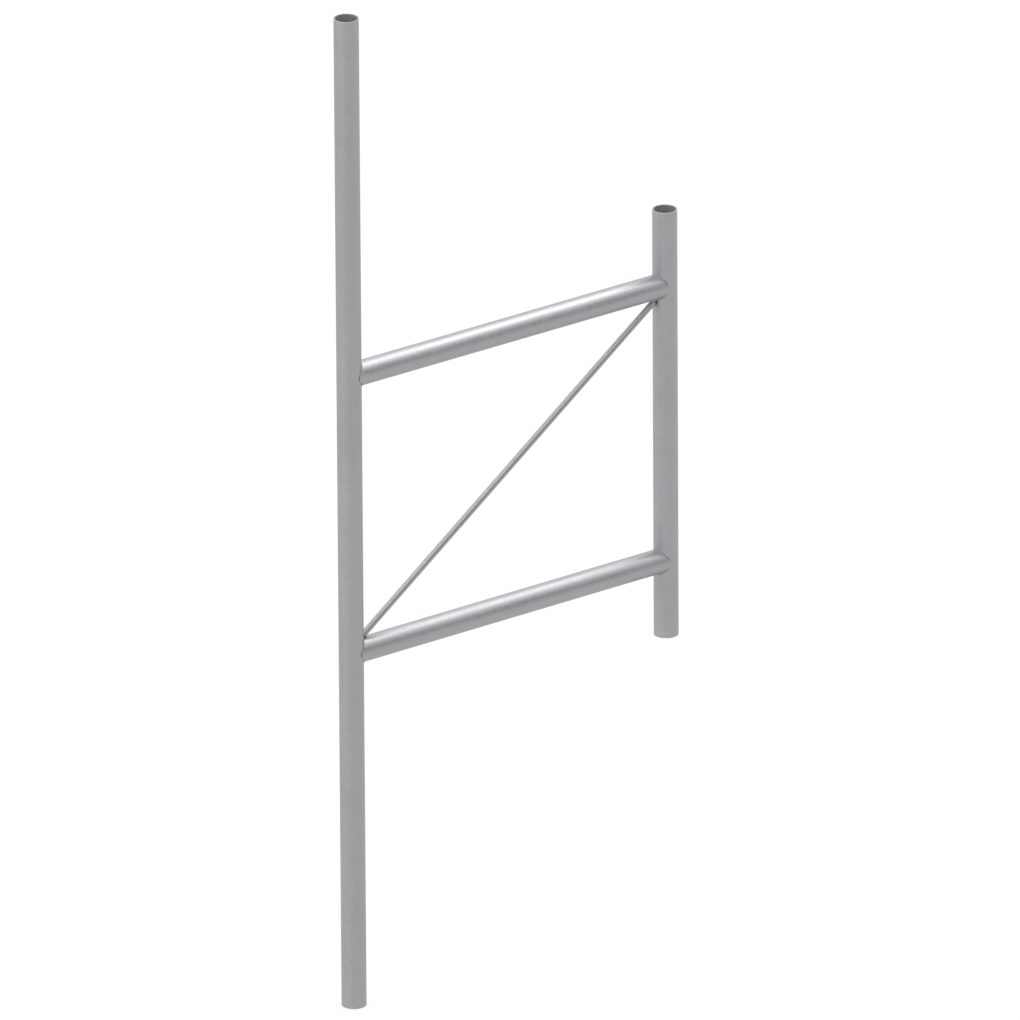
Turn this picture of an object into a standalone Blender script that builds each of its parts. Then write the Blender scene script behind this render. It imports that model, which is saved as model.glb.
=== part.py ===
"""Section of a frame scaffold: a long and a short standard, two ledgers and a diagonal bar.

The frame lies in the XZ plane. Its origin is the centre of the long standard's foot. +Z runs up that
standard, and +X points to the short one. Everything is welded together, so nothing moves. The frame is
the same above and below its middle height.
"""

import math

import bmesh
import bpy
from mathutils import Matrix, Vector

# Driving dimensions, in metres
TUBE_DIAMETER = 0.0483
TUBE_WALL = 0.0027
LONG_STANDARD_LENGTH = 2.030
SHORT_STANDARD_LENGTH = 0.880
STANDARD_SPACING = 0.763  # axis to axis
LEDGER_SPACING = 0.569  # axis to axis
BAR_DIAMETER = 0.0127
VENT_DIAMETER = 0.012  # lets zinc and air through the wall where a ledger covers it
COPE_TRIM = 0.008  # the two thin tips of a coped end are cut off this far from the standard's axis
EDGE_CHAMFER = 0.0004  # on the cut ends of tubes and bar
WELD_LEG = 0.003  # from a joint's root to the weld's toe
WELD_CROWN = 0.0008  # how far a weld's face swells past flat
WELD_SPAN = math.radians(135)  # of each arc of weld, around the ledger
WELD_TAPER = math.radians(12)  # over which each end of an arc runs out
BAR_WELD_REACH = 0.0052  # how far a bar weld reaches from where the bar touches
JOINT_GAP = 0.0003  # between any two solids that touch

# Worked out from them
TUBE_RADIUS = TUBE_DIAMETER / 2
BORE_RADIUS = TUBE_RADIUS - TUBE_WALL
CLEAR_RADIUS = TUBE_RADIUS + JOINT_GAP  # a tube's surface with the gap on it
BAR_RADIUS = BAR_DIAMETER / 2
MIDDLE_HEIGHT = LONG_STANDARD_LENGTH / 2
LEDGER_HEIGHTS = {
    "lower": MIDDLE_HEIGHT - LEDGER_SPACING / 2,
    "upper": MIDDLE_HEIGHT + LEDGER_SPACING / 2,
}
SHORT_STANDARD_FOOT = MIDDLE_HEIGHT - SHORT_STANDARD_LENGTH / 2

# Fineness of the meshes
SEGMENTS = 48
ANGLES = [2 * math.pi * index / SEGMENTS for index in range(SEGMENTS)]
COPE_STEPS = 3  # across the wall, so that the coped end follows the standard's round surface
WELD_STEPS = 24  # along an arc of weld
WELD_FACE_STEPS = 4  # across it
WELD_END_SHARE = 0.3  # of the full section, where an arc ends
BAR_SEGMENTS = 24
BEAD_SEGMENTS = 20
BEAD_TURN = math.radians(6)  # keeps the edges of a bar weld's ball off the edges of its cutters
SMOOTH_ANGLE = math.radians(35)
BAR_FIT_ROUNDS = 20  # the bar's slope settles to the last digit well before that

# Galvanised steel: colour and roughness of each kind of piece
TUBE_FINISH = ((0.58, 0.59, 0.60), 0.42)
BAR_FINISH = ((0.52, 0.53, 0.54), 0.45)
WELD_FINISH = ((0.50, 0.51, 0.52), 0.55)
STEEL_METALLIC = 0.85


def clear_scene():
    for item in list(bpy.data.objects):
        bpy.data.objects.remove(item, do_unlink=True)


def galvanised(name, finish):
    """Principled BSDF of one piece."""
    colour, roughness = finish
    material = bpy.data.materials.new(name + "_zinc")
    material.use_nodes = True
    shader = material.node_tree.nodes["Principled BSDF"]
    shader.inputs["Base Color"].default_value = (*colour, 1.0)
    shader.inputs["Metallic"].default_value = STEEL_METALLIC
    shader.inputs["Roughness"].default_value = roughness
    return material


def add_object(name, bm, location=(0, 0, 0), rotation=(0, 0, 0)):
    """Turn a bmesh into an object with its faces pointing out."""
    bmesh.ops.recalc_face_normals(bm, faces=bm.faces)
    mesh = bpy.data.meshes.new(name)
    bm.to_mesh(mesh)
    bm.free()
    mesh.shade_smooth()
    mesh.set_sharp_from_angle(angle=SMOOTH_ANGLE)
    item = bpy.data.objects.new(name, mesh)
    item.location = location
    item.rotation_euler = rotation
    bpy.context.scene.collection.objects.link(item)
    return item


def add_piece(name, bm, finish, frame, location=(0, 0, 0), rotation=(0, 0, 0)):
    """A visible piece of the frame, with a material of its own."""
    piece = add_object(name, bm, location, rotation)
    piece.data.materials.append(galvanised(name, finish))
    piece.parent = frame
    return piece


def add_cutter(name, bm, location=(0, 0, 0), rotation=(0, 0, 0)):
    """A hidden shape that only cuts other pieces."""
    cutter = add_object(name, bm, location, rotation)
    cutter.hide_render = True
    cutter.display_type = "WIRE"
    return cutter


def cut(piece, cutter):
    modifier = piece.modifiers.new("cut_by_" + cutter.name, "BOOLEAN")
    modifier.operation = "DIFFERENCE"
    modifier.solver = "EXACT"
    modifier.object = cutter


def skin(rings):
    """A closed body: each ring of points is joined to the next, and the last to the first."""
    bm = bmesh.new()
    loops = [[bm.verts.new(point) for point in ring] for ring in rings]
    for loop, following in zip(loops, loops[1:] + loops[:1]):
        for index, corner in enumerate(loop):
            after = (index + 1) % len(loop)
            bm.faces.new((corner, loop[after], following[after], following[index]))
    return bm


def loft(sections):
    """A closed body from one section to the next, with a flat cap on the first and the last."""
    bm = bmesh.new()
    loops = [[bm.verts.new(point) for point in section] for section in sections]
    for loop, following in zip(loops, loops[1:]):
        for index, corner in enumerate(loop):
            after = (index + 1) % len(loop)
            bm.faces.new((corner, loop[after], following[after], following[index]))
    bm.faces.new(loops[0])
    bm.faces.new(loops[-1])
    return bm


def cylinder(radius, length, segments=SEGMENTS):
    """A solid cylinder along Z, centred on the origin."""
    bm = bmesh.new()
    bmesh.ops.create_cone(
        bm, cap_ends=True, segments=segments, radius1=radius, radius2=radius, depth=length
    )
    return bm


def standard_rings(length):
    """An upright tube along Z, standing on the origin, with its cut ends deburred."""
    outside = TUBE_RADIUS
    inside = BORE_RADIUS
    profile = (
        (outside - EDGE_CHAMFER, 0),
        (outside, EDGE_CHAMFER),
        (outside, length - EDGE_CHAMFER),
        (outside - EDGE_CHAMFER, length),
        (inside + EDGE_CHAMFER, length),
        (inside, length - EDGE_CHAMFER),
        (inside, EDGE_CHAMFER),
        (inside + EDGE_CHAMFER, 0),
    )
    return [
        [(radius * math.cos(angle), radius * math.sin(angle), height) for angle in ANGLES]
        for radius, height in profile
    ]


def ledger_rings():
    """A level tube along X. Both ends are coped to fit a standard, and their two tips cut off."""

    def ring(radius, far_end):
        points = []
        for angle in ANGLES:
            across = radius * math.cos(angle)
            to_surface = math.sqrt(CLEAR_RADIUS**2 - across**2)
            reach = max(to_surface, COPE_TRIM)
            along = STANDARD_SPACING - reach if far_end else reach
            points.append((along, across, radius * math.sin(angle)))
        return points

    radii = [BORE_RADIUS + TUBE_WALL * step / COPE_STEPS for step in range(COPE_STEPS + 1)]
    near_end = [ring(radius, False) for radius in radii]
    far_end = [ring(radius, True) for radius in reversed(radii)]
    return near_end + far_end


def saddle_weld_section(angle, leg):
    """Cross-section of the weld between a ledger and a standard of the same diameter.

    The ledger runs along +X from a standard along Z, and the angle goes around the ledger from +Y.
    The two surfaces meet where x = z. The weld lies on both, a joint gap away, and its legs are laid
    out at right angles to the joint, as if the surfaces were unrolled. The two toes mirror each other
    in the plane x = z, so one height is the ledger toe's x and the standard toe's z.
    """
    sine = math.sin(angle)
    cosine = math.cos(angle)
    slope = math.sqrt(1 + cosine**2)
    angle_at_toe = angle - leg * cosine / slope / CLEAR_RADIUS
    toe_height = CLEAR_RADIUS * sine + leg / slope
    toe_across = CLEAR_RADIUS * math.cos(angle_at_toe)
    toe_depth = CLEAR_RADIUS * math.sin(angle_at_toe)
    ledger_toe = Vector((toe_height, toe_across, toe_depth))
    standard_toe = Vector((toe_depth, toe_across, toe_height))
    root = CLEAR_RADIUS * Vector((sine, cosine, sine))

    ledger_normal = Vector((0, cosine, sine))
    standard_normal = Vector((sine, cosine, 0))
    outward = (ledger_normal + standard_normal).normalized()
    opening = ledger_normal.angle(standard_normal)
    swell = WELD_CROWN * leg / WELD_LEG
    crown = root + outward * (leg * math.sin(opening / 2) + swell)
    control = 2 * crown - (ledger_toe + standard_toe) / 2

    points = [root]
    for step in range(WELD_FACE_STEPS + 1):
        part = step / WELD_FACE_STEPS
        points.append(
            ledger_toe * (1 - part) ** 2 + control * 2 * part * (1 - part) + standard_toe * part**2
        )
    return points


def saddle_weld(standard, side):
    """An arc of weld over the top or under the bottom of a ledger's end, short of the cut tips."""
    start = (math.pi - WELD_SPAN) / 2
    sections = []
    for step in range(WELD_STEPS + 1):
        angle = start + WELD_SPAN * step / WELD_STEPS
        from_end = min(angle - start, start + WELD_SPAN - angle)
        share = WELD_END_SHARE + (1 - WELD_END_SHARE) * min(1, from_end / WELD_TAPER)
        sections.append(saddle_weld_section(angle, WELD_LEG * share))
    bm = loft(sections)
    mirror = (1 if standard == "long" else -1, 1, 1 if side == "top" else -1)
    bmesh.ops.scale(bm, vec=mirror, verts=bm.verts)
    return bm


def fit_bar():
    """Slope and length of a square-cut bar wedged between the frame's inner corners.

    Each end touches a ledger with one edge and a standard with the other, so the bar, seen as a
    rectangle, spans the whole field: length * cos + diameter * sin = width, and so for the height.
    """
    width = STANDARD_SPACING - 2 * CLEAR_RADIUS
    height = LEDGER_SPACING - 2 * CLEAR_RADIUS
    slope = math.atan2(height, width)
    for _ in range(BAR_FIT_ROUNDS):
        run = width - BAR_DIAMETER * math.sin(slope)
        rise = height - BAR_DIAMETER * math.cos(slope)
        slope = math.atan2(rise, run)
    return slope, math.hypot(run, rise)


def add_standards(frame):
    """Both upright tubes, with a vent hole where each ledger will cover the wall."""
    long_standard = add_piece(
        "long_standard", skin(standard_rings(LONG_STANDARD_LENGTH)), TUBE_FINISH, frame
    )
    short_standard = add_piece(
        "short_standard",
        skin(standard_rings(SHORT_STANDARD_LENGTH)),
        TUBE_FINISH,
        frame,
        location=(STANDARD_SPACING, 0, SHORT_STANDARD_FOOT),
    )
    middle_of_wall = TUBE_RADIUS - TUBE_WALL / 2
    for level, height in LEDGER_HEIGHTS.items():
        for standard, across in (
            (long_standard, middle_of_wall),
            (short_standard, STANDARD_SPACING - middle_of_wall),
        ):
            vent = add_cutter(
                f"{level}_vent_of_{standard.name}",
                cylinder(VENT_DIAMETER / 2, 3 * TUBE_WALL, BAR_SEGMENTS),
                location=(across, 0, height),
                rotation=(0, math.pi / 2, 0),
            )
            cut(standard, vent)


def add_ledgers(frame):
    """Both level tubes and the welds around their ends."""
    for level, height in LEDGER_HEIGHTS.items():
        add_piece(
            f"{level}_ledger", skin(ledger_rings()), TUBE_FINISH, frame, location=(0, 0, height)
        )
        for standard, across in (("long", 0), ("short", STANDARD_SPACING)):
            for side in ("top", "bottom"):
                add_piece(
                    f"{level}_ledger_weld_{standard}_{side}",
                    saddle_weld(standard, side),
                    WELD_FINISH,
                    frame,
                    location=(across, 0, height),
                )


def add_bar(frame):
    """The diagonal bar and the four small welds that hold its ends."""
    slope, length = fit_bar()
    along = Vector((math.cos(slope), 0, math.sin(slope)))
    aside = Vector((-math.sin(slope), 0, math.cos(slope)))  # to the bar's upper left
    middle = Vector((STANDARD_SPACING / 2, 0, MIDDLE_HEIGHT))
    tilt = (0, math.pi / 2 - slope, 0)

    bar = add_piece(
        "diagonal_bar", cylinder(BAR_RADIUS, length, BAR_SEGMENTS), BAR_FINISH, frame, middle, tilt
    )
    bevel = bar.modifiers.new("deburred_ends", "BEVEL")
    bevel.width = EDGE_CHAMFER
    bevel.segments = 1

    length_past_welds = length + 4 * BAR_WELD_REACH
    bar_cutter = add_cutter(
        "bar_cutter", cylinder(BAR_RADIUS + JOINT_GAP, length_past_welds), middle, tilt
    )
    for level, end in (("lower", -1), ("upper", 1)):
        ledger_cutter = add_cutter(
            f"{level}_ledger_cutter",
            cylinder(CLEAR_RADIUS, STANDARD_SPACING),
            (middle.x, 0, LEDGER_HEIGHTS[level]),
            (0, math.pi / 2, 0),
        )
        standard_cutter = add_cutter(
            f"{level}_standard_cutter",
            cylinder(CLEAR_RADIUS, LEDGER_SPACING),
            (middle.x + end * STANDARD_SPACING / 2, 0, MIDDLE_HEIGHT + end * LEDGER_SPACING / 4),
        )
        end_centre = middle + along * (end * length / 2)
        # At the upper end the bar's upper edge touches the ledger; at the lower end its lower edge.
        for wall, side, wall_cutter in (
            ("ledger", end, ledger_cutter),
            ("standard", -end, standard_cutter),
        ):
            touch = end_centre + aside * (side * BAR_RADIUS)
            bead = add_piece(
                f"{level}_bar_weld_{wall}", bar_weld(along * end), WELD_FINISH, frame, touch
            )
            cut(bead, wall_cutter)
            cut(bead, bar_cutter)


def bar_weld(outward):
    """A ball of weld metal around the touching point, cut off square at the bar's end."""
    bm = bmesh.new()
    bmesh.ops.create_uvsphere(
        bm, u_segments=BEAD_SEGMENTS, v_segments=BEAD_SEGMENTS // 2, radius=BAR_WELD_REACH
    )
    turn = Matrix.Rotation(BEAD_TURN, 3, "X")
    bmesh.ops.rotate(bm, cent=(0, 0, 0), matrix=turn, verts=bm.verts)
    cut_edges = bmesh.ops.bisect_plane(
        bm,
        geom=[*bm.verts, *bm.edges, *bm.faces],
        plane_co=(0, 0, 0),
        plane_no=outward,
        clear_outer=True,
    )["geom_cut"]
    rim = [edge for edge in cut_edges if isinstance(edge, bmesh.types.BMEdge)]
    bmesh.ops.edgenet_fill(bm, edges=rim)
    return bm


def main():
    clear_scene()
    frame = bpy.data.objects.new("frame_section", None)
    bpy.context.scene.collection.objects.link(frame)
    add_standards(frame)
    add_ledgers(frame)
    add_bar(frame)


main()
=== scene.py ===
import math

import bmesh
import bpy
from mathutils import Matrix, Vector, noise


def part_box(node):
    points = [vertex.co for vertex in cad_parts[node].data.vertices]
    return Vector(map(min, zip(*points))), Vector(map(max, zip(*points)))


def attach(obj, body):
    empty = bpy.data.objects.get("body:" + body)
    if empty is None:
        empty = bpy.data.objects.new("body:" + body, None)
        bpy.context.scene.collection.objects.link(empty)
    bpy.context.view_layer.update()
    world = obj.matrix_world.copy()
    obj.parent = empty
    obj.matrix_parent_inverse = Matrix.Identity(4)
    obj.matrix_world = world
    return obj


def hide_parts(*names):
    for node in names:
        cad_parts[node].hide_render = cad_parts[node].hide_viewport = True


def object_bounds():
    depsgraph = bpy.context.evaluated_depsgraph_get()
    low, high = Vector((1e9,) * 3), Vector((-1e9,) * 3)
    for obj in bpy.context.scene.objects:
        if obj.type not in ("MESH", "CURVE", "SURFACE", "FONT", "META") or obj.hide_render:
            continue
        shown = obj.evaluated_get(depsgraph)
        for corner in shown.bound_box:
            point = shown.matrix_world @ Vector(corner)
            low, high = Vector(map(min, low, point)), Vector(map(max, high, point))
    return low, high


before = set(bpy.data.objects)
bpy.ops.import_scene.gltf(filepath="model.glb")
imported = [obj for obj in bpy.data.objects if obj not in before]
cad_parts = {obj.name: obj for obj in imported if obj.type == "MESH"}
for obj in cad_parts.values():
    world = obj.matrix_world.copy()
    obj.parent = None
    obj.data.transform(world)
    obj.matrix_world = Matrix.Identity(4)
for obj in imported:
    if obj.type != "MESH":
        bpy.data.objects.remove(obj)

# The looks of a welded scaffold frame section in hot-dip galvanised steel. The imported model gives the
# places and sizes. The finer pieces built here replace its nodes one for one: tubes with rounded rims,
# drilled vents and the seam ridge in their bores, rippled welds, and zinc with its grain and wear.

CAD_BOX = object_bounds()

# ---------------------------------------------------------------- sizes that the frame doesn't give
TUBE_WALL = 0.0027
RIM_ROUND = 0.00025  # radius of the edges of a cut tube end
SEAM_HEIGHT = 0.0004  # the ridge that the tube mill leaves inside a tube
SEAM_WIDTH = 0.0016
VENT_RADIUS = 0.006  # of the hole through the wall that each ledger covers
COPE_TRIM = 0.008  # from a standard's axis to the cut-off tips of a coped end
EMBED = 0.0002  # how far a weld or a coped end sinks into the steel that it is welded to
WELD_LEG = 0.0022  # of a weld between a ledger and a standard
WELD_CROWN = -0.0002  # how far a weld's face stands out from flat: it is slightly hollow
WELD_SPAN = math.radians(135)  # of each arc of weld, around the ledger
WELD_TAPER = math.radians(12)  # over which each end of an arc runs out
WELD_END_SHARE = 0.25  # of the full section, where an arc ends
LEG_WANDER = 0.10  # how far such a weld's leg strays from its size, as a share of it
CROWN_WANDER = 0.15
RIPPLE_PITCH = 0.0021
RIPPLE_HEIGHT = 0.00012
RIPPLE_BEND = 0.55  # how far the middle of a ripple lies back from its ends, in pitches
BAR_EDGE = 0.0004  # radius of the bar's rounded edges
EDGE_MIDDLE = 0.3  # how deep the middle of such an edge lies, as a share of its radius
BAR_WELD_LEG = 0.0044
BAR_WELD_HALF_WIDTH = 0.0038
BAR_WELD_CROWN = 0.0002
BAR_WELD_TAPER = 0.8  # of its half width, over which each side runs out
BAR_LEG_WANDER = 0.08

# Fineness of the meshes
MERGE_DISTANCE = 0.00002  # closes the slivers that drilling leaves
SHARP_ANGLE = math.radians(40)
TUBE_SEGMENTS = 128
RIM_STEPS = 4
WALL_STEPS = 3
RING_SPACING = 0.04
WELD_STEPS = 200
WELD_FACE_STEPS = 12
BAR_WELD_STEPS = 36
ROUND_SEGMENTS = 48  # of the bar and of the vent holes
BAR_FIT_ROUNDS = 20  # the bar's slope settles to the last digit well before that


# ---------------------------------------------------------------- places, read from the frame
def box_of(node):
    low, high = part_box(node)
    return low, high, (low + high) / 2


long_low, long_high, long_middle = box_of("long_standard")
short_low, short_high, short_middle = box_of("short_standard")
TUBE_RADIUS = (long_high.x - long_low.x) / 2
BORE_RADIUS = TUBE_RADIUS - TUBE_WALL
JOINT_GAP = short_low.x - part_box("diagonal_bar")[1].x  # that the frame leaves where two solids touch
LEDGER_HEIGHTS = {level: box_of(level + "_ledger")[2].z for level in ("lower", "upper")}
STANDARDS = {"long": long_middle, "short": short_middle}


# ---------------------------------------------------------------- making meshes
def turn_angles(count):
    return [2 * math.pi * step / count for step in range(count)]


TUBE_ANGLES = turn_angles(TUBE_SEGMENTS)


def closed_object(name, points, faces):
    """A closed body with its faces pointing out, smooth but for its sharp edges."""
    mesh = bpy.data.meshes.new(name)
    mesh.from_pydata(points, [], faces)
    bm = bmesh.new()
    bm.from_mesh(mesh)
    bmesh.ops.recalc_face_normals(bm, faces=bm.faces)
    bm.to_mesh(mesh)
    bm.free()
    item = bpy.data.objects.new(name, mesh)
    bpy.context.scene.collection.objects.link(item)
    smooth(mesh)
    return item


def smooth(mesh):
    mesh.shade_smooth()
    mesh.set_sharp_from_angle(angle=SHARP_ANGLE)


def piece_from(name, points, faces, replaced, slot, material):
    """A piece that rides on the frame and replaces one of its nodes."""
    piece = closed_object(name, points, faces)
    piece.data.materials.append(material)
    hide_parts(replaced)
    return piece


def finish_bore(tube, material):
    """Give the faces of a tube's bore a material of their own."""
    tube.data.materials.append(material)
    for face in tube.data.polygons:
        if face.center.xy.length < BORE_RADIUS + EMBED / 10:
            face.material_index = 1


def drill(piece, places):
    """Cut round vent holes along X through one wall of a tube, at places in the tube's own frame."""
    for where in places:
        points = [
            (3 * TUBE_WALL * end, VENT_RADIUS * math.cos(angle), VENT_RADIUS * math.sin(angle))
            for end in (-1, 1)
            for angle in turn_angles(ROUND_SEGMENTS)
        ]
        points, faces = loft([points[:ROUND_SEGMENTS], points[ROUND_SEGMENTS:]])
        cutter = closed_object(piece.name + "_vent_cutter", points, faces)
        cutter.location = where
        modifier = piece.modifiers.new("vent", "BOOLEAN")
        modifier.operation = "DIFFERENCE"
        modifier.solver = "EXACT"
        modifier.object = cutter
        bpy.context.view_layer.update()
        drilled = bpy.data.meshes.new_from_object(
            piece.evaluated_get(bpy.context.evaluated_depsgraph_get())
        )
        piece.modifiers.remove(modifier)
        piece.data = drilled
        bpy.data.objects.remove(cutter)
    bm = bmesh.new()
    bm.from_mesh(piece.data)
    bmesh.ops.remove_doubles(bm, verts=bm.verts, dist=MERGE_DISTANCE)
    bm.to_mesh(piece.data)
    bm.free()
    smooth(piece.data)


def skin(rings):
    """Points and quads of a closed body: each ring is joined to the next, and the last to the first."""
    count = len(rings[0])
    points = [point for ring in rings for point in ring]
    faces = []
    for index in range(len(rings)):
        here = index * count
        there = (index + 1) % len(rings) * count
        for corner in range(count):
            after = (corner + 1) % count
            faces.append((here + corner, here + after, there + after, there + corner))
    return points, faces


def loft(sections):
    """Points and faces of a closed body from one section to the next, with a cap at each end."""
    points, faces = skin(sections)
    count = len(sections[0])
    faces = faces[:-count]
    faces.append(tuple(reversed(range(count))))
    faces.append(tuple(range(len(points) - count, len(points))))
    return points, faces


def place(piece, location, rotation=(0, 0, 0)):
    piece.location = location
    piece.rotation_euler = rotation
    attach(piece, "root")


def rim_edge(centre_radius, centre_height, start, end):
    """Points (radius, height) of a rounded edge in a tube's profile, from one angle to another."""
    points = []
    for step in range(RIM_STEPS + 1):
        angle = math.radians(start + (end - start) * step / RIM_STEPS)
        radius = centre_radius + RIM_ROUND * math.cos(angle)
        points.append((radius, centre_height + RIM_ROUND * math.sin(angle)))
    return points


def heights_between(low, high):
    """Heights of the rings along a tube: one just inside each end, so that the rims shade cleanly."""
    margin = 2 * RIM_ROUND
    count = max(2, round((high - low) / RING_SPACING))
    inner_low = low + margin
    inner_high = high - margin
    return [inner_low + (inner_high - inner_low) * step / count for step in range(count + 1)]


def bore_ring_radius(radius, angle):
    """The bore's radius at an angle, with the mill's seam ridge at the back of the tube."""
    away = (angle - math.pi / 2) * radius / SEAM_WIDTH
    return radius - SEAM_HEIGHT * math.exp(-(away**2) * 2)


def upright_tube(length):
    """A tube along Z about its middle, with rounded rims."""
    half = length / 2
    low = -half + RIM_ROUND
    high = half - RIM_ROUND
    outer = TUBE_RADIUS - RIM_ROUND
    inner = BORE_RADIUS + RIM_ROUND
    outside = rim_edge(outer, low, -90, 0)
    outside += [(TUBE_RADIUS, height) for height in heights_between(low, high)]
    outside += rim_edge(outer, high, 0, 90)
    inside = rim_edge(inner, high, 90, 180)
    inside += [(BORE_RADIUS, height) for height in reversed(heights_between(low, high))]
    inside += rim_edge(inner, low, 180, 270)

    rings = []
    for radius, height in outside:
        rings.append([(radius * math.cos(a), radius * math.sin(a), height) for a in TUBE_ANGLES])
    for radius, height in inside:
        ring = []
        for a in TUBE_ANGLES:
            ridged = bore_ring_radius(radius, a)
            ring.append((ridged * math.cos(a), ridged * math.sin(a), height))
        rings.append(ring)
    return skin(rings)


def coped_tube(length):
    """A tube along Z about its middle, its two ends coped and their thin tips cut off.

    Each end fits a tube of the same size that runs along X.
    """
    half = length / 2
    seat = TUBE_RADIUS - EMBED

    def ring(radius, end, share=1.0):
        """At an end, share 1 is the coped edge, and share 0 is the tube's middle."""
        points = []
        for a in TUBE_ANGLES:
            across = min(radius * abs(math.sin(a)), seat)
            reach = half - max(math.sqrt(seat**2 - across**2), COPE_TRIM)
            points.append((radius * math.cos(a), radius * math.sin(a), end * reach * share))
        return points

    steps = max(2, round(half / RING_SPACING))
    shares = [step / steps for step in range(steps + 1)]
    wall_radii = [BORE_RADIUS + TUBE_WALL * step / WALL_STEPS for step in range(1, WALL_STEPS)]
    rings = [ring(TUBE_RADIUS, -1, share) for share in reversed(shares)]
    rings += [ring(TUBE_RADIUS, 1, share) for share in shares[1:]]
    rings += [ring(radius, 1) for radius in reversed(wall_radii)]
    rings += [ring(BORE_RADIUS, 1, share) for share in reversed(shares)]
    rings += [ring(BORE_RADIUS, -1, share) for share in shares[1:]]
    rings += [ring(radius, -1) for radius in wall_radii]
    return skin(rings)


def weld_face(start, end, outward, crown, distance):
    """Points across the face of a weld, from one toe to the other, swollen and rippled."""
    control = outward * (2 * crown) + (start + end) / 2
    points = []
    for step in range(WELD_FACE_STEPS + 1):
        part = step / WELD_FACE_STEPS
        bow = 4 * part * (1 - part)
        ripple = abs(math.sin(math.pi * (distance / RIPPLE_PITCH + RIPPLE_BEND * bow))) - 0.5
        point = start * (1 - part) ** 2 + control * 2 * part * (1 - part) + end * part**2
        points.append(point + outward * (RIPPLE_HEIGHT * bow * ripple))
    return points


def run_out(from_end, length):
    """Size of a weld near its end, as a share of the full size: it closes like a rounded nose."""
    part = min(1, from_end / length)
    return WELD_END_SHARE + (1 - WELD_END_SHARE) * math.sqrt(part * (2 - part))


def saddle_bead(side_x, side_z, seed):
    """An arc of weld over the top (side_z 1) or under the bottom (-1) of a ledger's end.

    It is worked out for a ledger along +X from a standard along Z, where the two surfaces meet at
    x = z, and mirrored where side_x or side_z is -1.
    """
    radius = TUBE_RADIUS - EMBED
    start = (math.pi - WELD_SPAN) / 2
    distance = 0.0
    sections = []
    for step in range(WELD_STEPS + 1):
        angle = start + WELD_SPAN * step / WELD_STEPS
        sine = math.sin(angle)
        cosine = math.cos(angle)
        slope = math.sqrt(1 + cosine**2)
        wander = noise.noise(Vector((distance * 90, side_z * 3.1, seed)))
        from_end = min(angle - start, start + WELD_SPAN - angle)
        leg = WELD_LEG * run_out(from_end, WELD_TAPER) * (1 + LEG_WANDER * wander)

        angle_at_toe = angle - leg * cosine / slope / radius
        toe_height = radius * sine + leg / slope
        toe_across = radius * math.cos(angle_at_toe)
        toe_depth = radius * math.sin(angle_at_toe)
        ledger_toe = Vector((toe_height, toe_across, toe_depth))
        standard_toe = Vector((toe_depth, toe_across, toe_height))
        root = radius * Vector((sine, cosine, sine))

        ledger_normal = Vector((0, cosine, sine))
        standard_normal = Vector((sine, cosine, 0))
        outward = (ledger_normal + standard_normal).normalized()
        opening = ledger_normal.angle(standard_normal)
        flat = (root + outward * leg * math.sin(opening / 2) - (ledger_toe + standard_toe) / 2).length
        crown = EMBED + flat + WELD_CROWN * leg / WELD_LEG * (1 + CROWN_WANDER * wander)
        face = weld_face(ledger_toe, standard_toe, outward, crown, distance)
        sections.append([root - outward * EMBED, *face])
        distance += radius * slope * WELD_SPAN / WELD_STEPS
    mirror = Vector((side_x, 1, side_z))
    return loft([[tuple(point * mirror) for point in section] for section in sections])


def bar_bead(bar_radius, backward, aside, wall_back, wall_inward, seed):
    """The weld in the wedge between the bar's side and a tube, back from the point where they touch.

    Its origin is that point of the bar. backward runs down the bar from its end, and aside from its
    axis to the touching side. wall_back runs along the tube, away from the bar's end, and wall_inward
    into the tube.
    """
    sections = []
    for step in range(BAR_WELD_STEPS + 1):
        across = BAR_WELD_HALF_WIDTH * (2 * step / BAR_WELD_STEPS - 1)
        share = run_out(BAR_WELD_HALF_WIDTH - abs(across), BAR_WELD_HALF_WIDTH * BAR_WELD_TAPER)
        wander = noise.noise(Vector((across * 400, 7.7, seed)))
        leg = BAR_WELD_LEG * share * (1 + BAR_LEG_WANDER * wander)
        on_bar = aside * (math.sqrt(bar_radius**2 - across**2) - bar_radius - EMBED)
        dip = TUBE_RADIUS - math.sqrt(TUBE_RADIUS**2 - across**2)
        on_wall = wall_inward * (JOINT_GAP + dip + EMBED)
        middle = Vector((0, across, 0))
        bar_toe = middle + on_bar + backward * leg
        wall_toe = middle + on_wall + wall_back * leg
        outward = (backward + wall_back).normalized()
        face = weld_face(bar_toe, wall_toe, outward, BAR_WELD_CROWN * share + EMBED, across)
        sections.append([middle + on_wall, middle + on_bar, *face])
    return loft([[tuple(point) for point in section] for section in sections])


# ---------------------------------------------------------------- materials
TUBE_TONE = (0.498, 0.503, 0.518)
BAR_TONE = (0.476, 0.481, 0.490)
# The welds' zinc is darker than the tubes': painted shade for the creases where the welds lie.
WELD_TONE_AND_PAINTED_SHADE = (0.385, 0.388, 0.396)
BORE_TONE = (0.550, 0.552, 0.560)
TUBE_ROUGHNESS = 0.45
BAR_ROUGHNESS = 0.25
WELD_ROUGHNESS = 0.60
BORE_ROUGHNESS = 0.6

# The scale of each pattern in the zinc, per metre
CRYSTALS = 150.0
CLOUDS = 9.0
STREAKS = 130.0
PORES = 900.0
RUBS = 420.0
LUMPS = 110.0

# How deep the bumps are, how far the scuffs reach from an open end, and what they take off the roughness
PORE_DEPTH = 0.00006
RELIEF_DEPTH = 0.00015
SCUFF_REACH = 0.05
SCUFF_POLISH = 0.08


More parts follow.
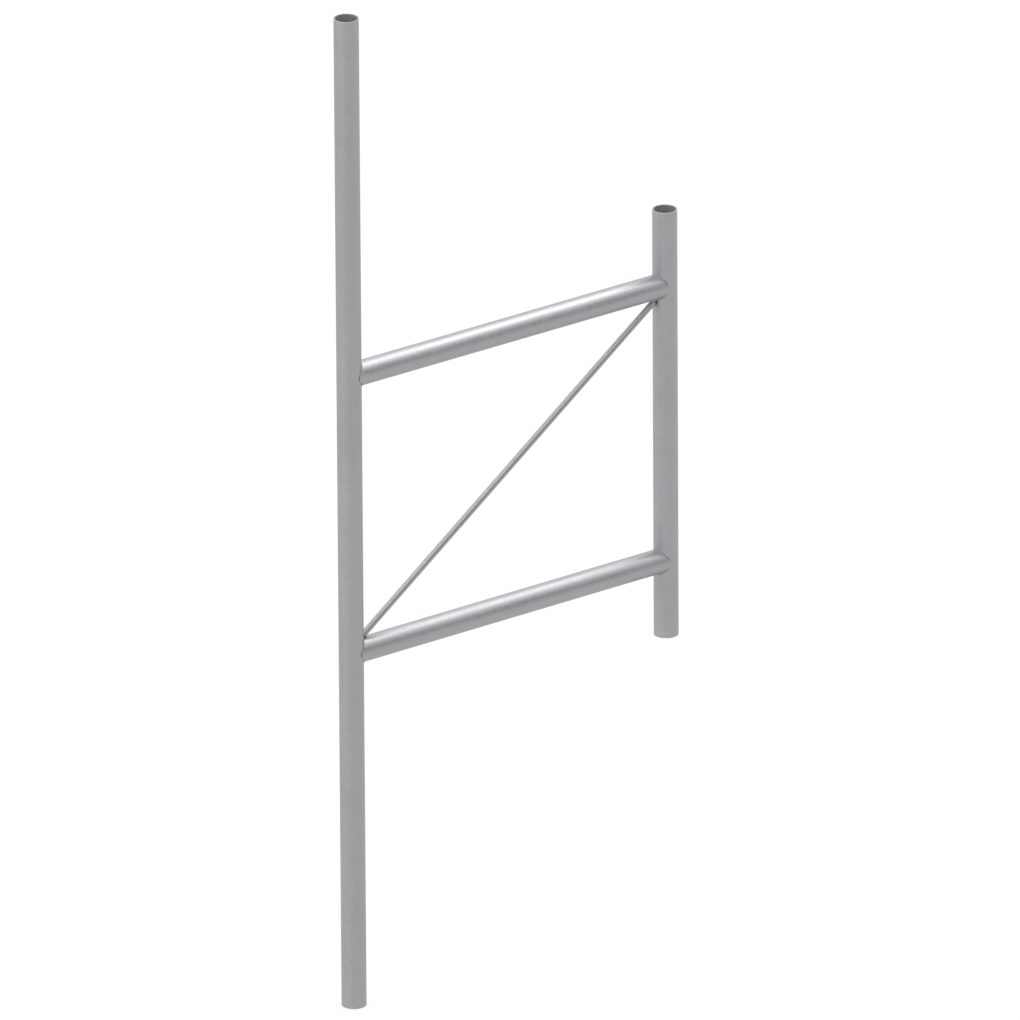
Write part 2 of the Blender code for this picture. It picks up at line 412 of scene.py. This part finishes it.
class Nodes:
    """Short ways to add and join shader nodes in one material."""

    def __init__(self, name):
        self.material = bpy.data.materials.new(name)
        self.material.use_nodes = True
        self.tree = self.material.node_tree
        self.shader = self.tree.nodes["Principled BSDF"]

    def add(self, kind, inputs=None, **settings):
        node = self.tree.nodes.new(kind)
        for key, value in settings.items():
            setattr(node, key, value)
        for socket, value in (inputs or {}).items():
            self.put(node.inputs[socket], value)
        return node

    def put(self, socket, value):
        if isinstance(value, bpy.types.NodeSocket):
            self.tree.links.new(value, socket)
        else:
            socket.default_value = value

    def math(self, operation, first, second=0.0):
        node = self.add("ShaderNodeMath", operation=operation)
        self.put(node.inputs[0], first)
        self.put(node.inputs[1], second)
        return node.outputs[0]

    def remap(self, value, low, high, to_low, to_high):
        node = self.add("ShaderNodeMapRange", clamp=True)
        for socket, number in enumerate((value, low, high, to_low, to_high)):
            self.put(node.inputs[socket], number)
        return node.outputs[0]

    def scaled(self, vector, scale):
        node = self.add("ShaderNodeMapping")
        self.put(node.inputs["Vector"], vector)
        node.inputs["Scale"].default_value = scale
        return node.outputs[0]

    def noise(self, vector, scale, detail=2.0, roughness=0.5):
        node = self.add("ShaderNodeTexNoise")
        self.put(node.inputs["Vector"], vector)
        node.inputs["Scale"].default_value = scale
        node.inputs["Detail"].default_value = detail
        node.inputs["Roughness"].default_value = roughness
        return node.outputs["Fac"]

    def voronoi(self, vector, scale, feature="F1"):
        node = self.add("ShaderNodeTexVoronoi", feature=feature)
        self.put(node.inputs["Vector"], vector)
        node.inputs["Scale"].default_value = scale
        return node


def zinc(name, tone, roughness, shift, half_length=None, grain=1.0, metallic=1.0):
    """Dull hot-dip zinc, streaked along local Z. half_length adds the scuffs of a tube's open ends."""
    nodes = Nodes(name)
    place_on_piece = nodes.add("ShaderNodeTexCoord").outputs["Object"]
    moved = nodes.add("ShaderNodeVectorMath", operation="ADD")
    nodes.put(moved.inputs[0], place_on_piece)
    moved.inputs[1].default_value = shift
    here = moved.outputs[0]

    crystals = nodes.voronoi(here, CRYSTALS)
    crystal_tone = nodes.add("ShaderNodeSeparateColor", {0: crystals.outputs["Color"]}).outputs[0]
    crystal_edges = nodes.voronoi(here, CRYSTALS, "DISTANCE_TO_EDGE").outputs["Distance"]
    clouds = nodes.noise(here, CLOUDS, 3.0, 0.55)
    streaks = nodes.noise(nodes.scaled(here, (1.0, 1.0, 0.04)), STREAKS, 3.0, 0.6)
    pores = nodes.noise(here, PORES, 2.0, 0.6)

    brightness = nodes.remap(crystal_tone, 0.0, 1.0, 0.965, 1.035)
    brightness = nodes.math("MULTIPLY", brightness, nodes.remap(clouds, 0.3, 0.7, 0.965, 1.03))
    brightness = nodes.math("MULTIPLY", brightness, nodes.remap(streaks, 0.3, 0.7, 0.975, 1.02))
    brightness = nodes.math("MULTIPLY", brightness, nodes.remap(pores, 0.25, 0.75, 0.98, 1.015))
    edge_line = nodes.remap(crystal_edges, 0.0, 0.05, 0.975, 1.0)
    brightness = nodes.math("MULTIPLY", brightness, edge_line)

    gloss = nodes.remap(crystal_tone, 0.0, 1.0, -0.035, 0.035)
    gloss = nodes.math("ADD", gloss, nodes.remap(clouds, 0.3, 0.7, -0.03, 0.03))
    gloss = nodes.math("ADD", gloss, nodes.remap(streaks, 0.3, 0.7, -0.02, 0.02))
    gloss = nodes.math("ADD", gloss, roughness)

    if half_length:
        height = nodes.add("ShaderNodeSeparateXYZ", {0: place_on_piece}).outputs[2]
        from_end = nodes.math("SUBTRACT", half_length, nodes.math("ABSOLUTE", height))
        near_end = nodes.remap(from_end, 0.0, SCUFF_REACH, 1.0, 0.0)
        rubs = nodes.noise(nodes.scaled(here, (1.0, 1.0, 0.12)), RUBS, 4.0, 0.65)
        scuff = nodes.math("MULTIPLY", near_end, nodes.remap(rubs, 0.5, 0.66, 0.0, 1.0))
        brightness = nodes.math("MULTIPLY", brightness, nodes.remap(scuff, 0.0, 1.0, 1.0, 1.12))
        gloss = nodes.math("SUBTRACT", gloss, nodes.math("MULTIPLY", scuff, SCUFF_POLISH))

    tint = nodes.add("ShaderNodeVectorMath", operation="SCALE")
    tint.inputs[0].default_value = tone
    nodes.put(tint.inputs["Scale"], brightness)
    nodes.put(nodes.shader.inputs["Base Color"], tint.outputs[0])
    nodes.put(nodes.shader.inputs["Roughness"], gloss)
    nodes.shader.inputs["Metallic"].default_value = metallic

    fine = nodes.add("ShaderNodeBump")
    fine.inputs["Strength"].default_value = 0.25 * grain
    fine.inputs["Distance"].default_value = PORE_DEPTH
    nodes.put(fine.inputs["Height"], pores)
    relief = nodes.add("ShaderNodeBump")
    relief.inputs["Strength"].default_value = 0.35 * grain
    relief.inputs["Distance"].default_value = RELIEF_DEPTH
    lumps = nodes.noise(nodes.scaled(here, (1.0, 1.0, 0.35)), LUMPS, 2.0, 0.5)
    nodes.put(relief.inputs["Height"], nodes.math("ADD", lumps, edge_line))
    nodes.put(relief.inputs["Normal"], fine.outputs[0])
    nodes.put(nodes.shader.inputs["Normal"], relief.outputs[0])
    return nodes.material


# ---------------------------------------------------------------- the pieces
def bore_zinc(name, seed):
    """The zinc inside a tube: rough, dull and unpolished."""
    return zinc(name + "_bore_zinc", BORE_TONE, BORE_ROUGHNESS, (seed, 5.1, 0.4), grain=1.5, metallic=0.9)


def make_standards():
    for which, (low, high, middle) in {
        "long": (long_low, long_high, long_middle),
        "short": (short_low, short_high, short_middle),
    }.items():
        length = high.z - low.z
        name = which + "_standard"
        finish = zinc(name + "_zinc", TUBE_TONE, TUBE_ROUGHNESS, (len(which), 0.3, 0.7), length / 2)
        tube = piece_from(name + "_tube", *upright_tube(length), name, "tube", finish)
        facing = 1 if which == "long" else -1
        reach = facing * (TUBE_RADIUS - TUBE_WALL / 2)
        drill(tube, [(reach, 0, height - middle.z) for height in LEDGER_HEIGHTS.values()])
        finish_bore(tube, bore_zinc(name, len(which)))
        place(tube, middle)


def make_ledgers():
    length = short_middle.x - long_middle.x
    for level, height in LEDGER_HEIGHTS.items():
        name = level + "_ledger"
        finish = zinc(name + "_zinc", TUBE_TONE, TUBE_ROUGHNESS, (height, 1.3, 0.2))
        tube = piece_from(name + "_tube", *coped_tube(length), name, "tube", finish)
        finish_bore(tube, bore_zinc(name, height))
        # Local Z turns to run along +X, and local X to point down.
        place(tube, (long_middle.x + length / 2, 0, height), (0, math.pi / 2, 0))


def make_saddle_beads():
    for level, height in LEDGER_HEIGHTS.items():
        for which, middle in STANDARDS.items():
            for part, side_z in (("top", 1), ("bottom", -1)):
                node = f"{level}_ledger_weld_{which}_{part}"
                seed = 3 * height + 7 * middle.x
                finish = zinc(node + "_zinc", WELD_TONE_AND_PAINTED_SHADE, WELD_ROUGHNESS, (seed, side_z, 0.9), grain=1.6)
                side_x = 1 if which == "long" else -1
                bead = piece_from(
                    f"{level}_ledger_bead_{which}_{part}",
                    *saddle_bead(side_x, side_z, seed),
                    node,
                    "weld",
                    finish,
                )
                place(bead, (middle.x, 0, height))


def bar_line():
    """The diagonal bar's radius, slope and length, worked out from its box."""
    low, high, middle = box_of("diagonal_bar")
    radius = (high.y - low.y) / 2
    width = high.x - low.x
    height = high.z - low.z
    slope = math.atan2(height, width)
    for _ in range(BAR_FIT_ROUNDS):
        run = width - 2 * radius * math.sin(slope)
        rise = height - 2 * radius * math.cos(slope)
        slope = math.atan2(rise, run)
    return radius, slope, math.hypot(run, rise), middle


def make_bar():
    radius, slope, length, middle = bar_line()
    half = length / 2
    edge = BAR_EDGE
    dip = edge * EDGE_MIDDLE
    profile = [(radius - edge, -half), (radius - dip, -half + dip), (radius, -half + edge)]
    profile += [(radius, height) for height in heights_between(-half + edge, half - edge)]
    profile += [(radius, half - edge), (radius - dip, half - dip), (radius - edge, half)]
    angles = turn_angles(ROUND_SEGMENTS)
    points, faces = loft(
        [[(r * math.cos(a), r * math.sin(a), height) for a in angles] for r, height in profile]
    )
    finish = zinc("diagonal_bar_zinc", BAR_TONE, BAR_ROUGHNESS, (0.4, 0.1, 2.2))
    bar = piece_from("diagonal_round_bar", points, faces, "diagonal_bar", "bar", finish)
    place(bar, middle, (0, math.pi / 2 - slope, 0))


def make_bar_beads():
    radius, slope, length, middle = bar_line()
    along = Vector((math.cos(slope), 0, math.sin(slope)))
    aside = Vector((-math.sin(slope), 0, math.cos(slope)))
    for level, end in (("lower", -1), ("upper", 1)):
        ledger_walls = (Vector((-end, 0, 0)), Vector((0, 0, end)))
        standard_walls = (Vector((0, 0, -end)), Vector((end, 0, 0)))
        for wall, side, (wall_back, wall_inward) in (
            ("ledger", end, ledger_walls),
            ("standard", -end, standard_walls),
        ):
            node = f"{level}_bar_weld_{wall}"
            seed = 2.3 * end + 0.7 * side
            points, faces = bar_bead(
                radius, along * -end, aside * side, wall_back, wall_inward, seed
            )
            finish = zinc(node + "_zinc", WELD_TONE_AND_PAINTED_SHADE, WELD_ROUGHNESS, (seed, 0.2, 1.7), grain=1.6)
            bead = piece_from(f"{level}_bar_bead_{wall}", points, faces, node, "weld", finish)
            place(bead, middle + along * (end * length / 2) + aside * (side * radius))


make_standards()
make_ledgers()
make_saddle_beads()
make_bar()
make_bar_beads()


# ---------------------------------------------------------------- floor, light and camera
FLOOR_TONE = 0.12
SEEN_FLOOR_GLOW = 0.88  # for the camera
MIRRORED_FLOOR_GLOW = 0.60  # for all other rays, such as those that the steel mirrors
DARK_HORIZON = 0.36
LIGHT_HORIZON = 0.90
LIGHT_LEFT = 1.2
ZENITH = 1.16
KEY_DIRECTION = (0.565, 0.044, 0.824)
KEY_DISTANCE = 7
KEY_WIDTH = 3.6
KEY_HEIGHT = 3.4
KEY_RADIANCE = 2.65


def make_floor():
    """White to the eye, with hardly a shadow. What the steel mirrors of it is a plain light grey."""
    nodes = Nodes("pale_floor")
    nodes.shader.inputs["Base Color"].default_value = (FLOOR_TONE, FLOOR_TONE, FLOOR_TONE, 1)
    nodes.shader.inputs["Roughness"].default_value = 1.0
    nodes.shader.inputs["Specular IOR Level"].default_value = 0.0
    nodes.shader.inputs["Emission Color"].default_value = (1, 1, 1, 1)
    seen = nodes.add("ShaderNodeLightPath").outputs["Is Camera Ray"]
    glow = nodes.remap(seen, 0.0, 1.0, MIRRORED_FLOOR_GLOW, SEEN_FLOOR_GLOW)
    nodes.put(nodes.shader.inputs["Emission Strength"], glow)
    mesh = bpy.data.meshes.new("floor")
    half = 60
    mesh.from_pydata(
        [(-half, -half, 0), (half, -half, 0), (half, half, 0), (-half, half, 0)],
        [],
        [(0, 1, 2, 3)],
    )
    mesh.materials.append(nodes.material)
    floor = bpy.data.objects.new("floor", mesh)
    floor.location.z = CAD_BOX[0].z
    bpy.context.scene.collection.objects.link(floor)


def make_world():
    """A studio that is plain white to the camera.

    All other rays find it bright overhead and to -X, and dark low down towards -Y.
    """
    world = bpy.data.worlds.new("studio")
    bpy.context.scene.world = world
    world.use_nodes = True
    tree = world.node_tree

    def blend(value, low, high, to_low, to_high):
        node = tree.nodes.new("ShaderNodeMapRange")
        node.interpolation_type = "SMOOTHSTEP"
        for socket, number in zip(node.inputs, (value, low, high, to_low, to_high)):
            if isinstance(number, bpy.types.NodeSocket):
                tree.links.new(number, socket)
            else:
                socket.default_value = number
        return node.outputs[0]

    direction = tree.nodes.new("ShaderNodeSeparateXYZ")
    coordinates = tree.nodes.new("ShaderNodeTexCoord")
    tree.links.new(coordinates.outputs["Generated"], direction.inputs[0])
    seen = tree.nodes.new("ShaderNodeLightPath").outputs["Is Camera Ray"]
    lit = blend(direction.outputs[0], -0.9, 0.0, LIGHT_LEFT, LIGHT_HORIZON)
    horizon = blend(direction.outputs[1], -0.8, -0.1, DARK_HORIZON, lit)
    mirrored = blend(direction.outputs[2], 0.35, 0.9, horizon, ZENITH)
    background = tree.nodes["Background"]
    background.inputs["Color"].default_value = (1.0, 1.0, 1.0, 1)
    tree.links.new(blend(seen, 0.0, 1.0, mirrored, 1.0), background.inputs["Strength"])


def soft_box(name, direction, distance, width, height, radiance):
    """An area light that faces the object, given by the radiance of its surface."""
    data = bpy.data.lights.new(name, "AREA")
    data.shape = "RECTANGLE"
    data.size = width
    data.size_y = height
    data.energy = radiance * math.pi * width * height
    light = bpy.data.objects.new(name, data)
    centre = (CAD_BOX[0] + CAD_BOX[1]) / 2
    away = Vector(direction).normalized()
    light.location = centre + away * distance
    light.rotation_euler = away.to_track_quat("Z", "Y").to_euler()
    bpy.context.scene.collection.objects.link(light)


def make_camera():
    """A long lens, far away, so that the view is nearly parallel."""
    azimuth = math.radians(37.56)
    elevation = math.radians(22.057)
    roll = math.radians(-0.3375)
    distance = 55.6
    target = Vector((0.38476, 0, 0.9275))
    view_width = 1.9546  # at the target

    looking = Vector(
        (
            math.sin(azimuth) * math.cos(elevation),
            math.cos(azimuth) * math.cos(elevation),
            -math.sin(elevation),
        )
    )
    level = Vector((math.cos(azimuth), -math.sin(azimuth), 0))
    upward = level.cross(looking)
    right = level * math.cos(roll) + upward * math.sin(roll)
    up = upward * math.cos(roll) - level * math.sin(roll)
    data = bpy.data.cameras.new("camera")
    data.sensor_width = 36
    data.lens = data.sensor_width * distance / view_width
    data.clip_start = 1
    data.clip_end = 200
    camera = bpy.data.objects.new("camera", data)
    turn = Matrix((right, up, -looking)).transposed()
    camera.matrix_world = Matrix.Translation(target - looking * distance) @ turn.to_4x4()
    bpy.context.scene.collection.objects.link(camera)
    bpy.context.scene.camera = camera


make_floor()
make_world()
soft_box("key_box", KEY_DIRECTION, KEY_DISTANCE, KEY_WIDTH, KEY_HEIGHT, KEY_RADIANCE)
make_camera()
bpy.context.scene.view_settings.view_transform = "Standard"
